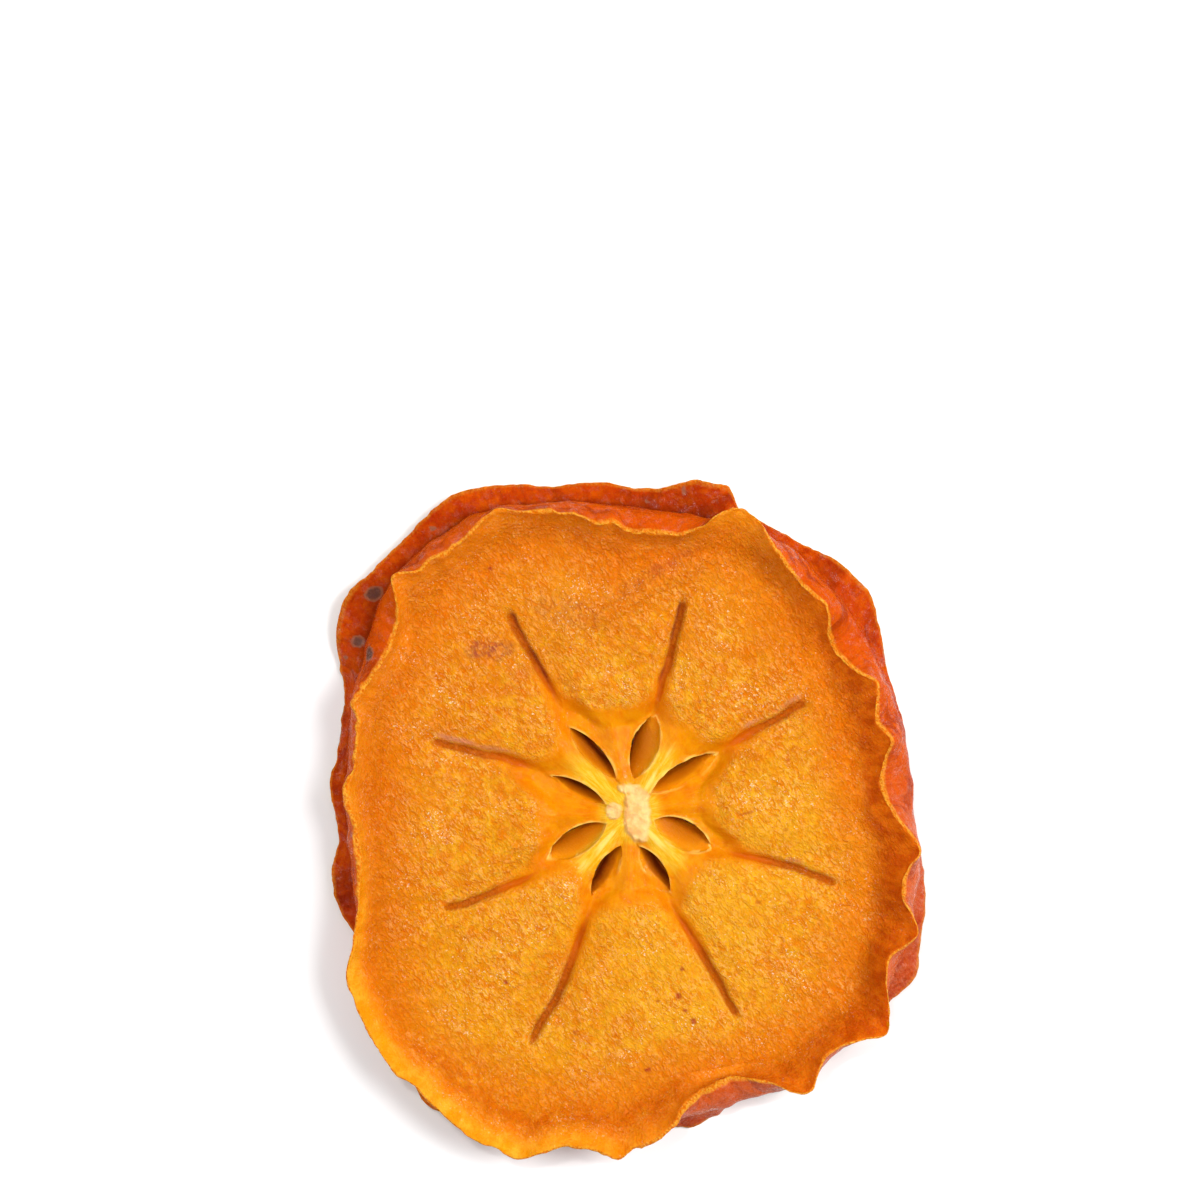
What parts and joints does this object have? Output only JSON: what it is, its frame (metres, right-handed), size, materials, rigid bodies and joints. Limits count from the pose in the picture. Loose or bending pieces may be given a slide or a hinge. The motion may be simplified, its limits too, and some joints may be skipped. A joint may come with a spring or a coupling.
{
  "type": "dried persimmon slice",
  "caption": "Dried cross-cut slice of persimmon: a thin plate of flesh with open seed chambers in a star, grooves and a ruffled rim of peel.",
  "frame": {"origin": "middle of the slice's outline, at the height of the surface that it lies on", "axes": "+Z up, out of the upper cut face; +Y along the longer way across the slice; +X to the right seen from above with +Y up"},
  "size_m": [0.06, 0.0678, 0.0068],
  "materials": {
    "dried_flesh": "dried orange flesh with a leathery, slightly shiny peel"
  },
  "bodies": {
    "root": {"persimmon_slice": "dried_flesh"}
  },
  "joints": []
}
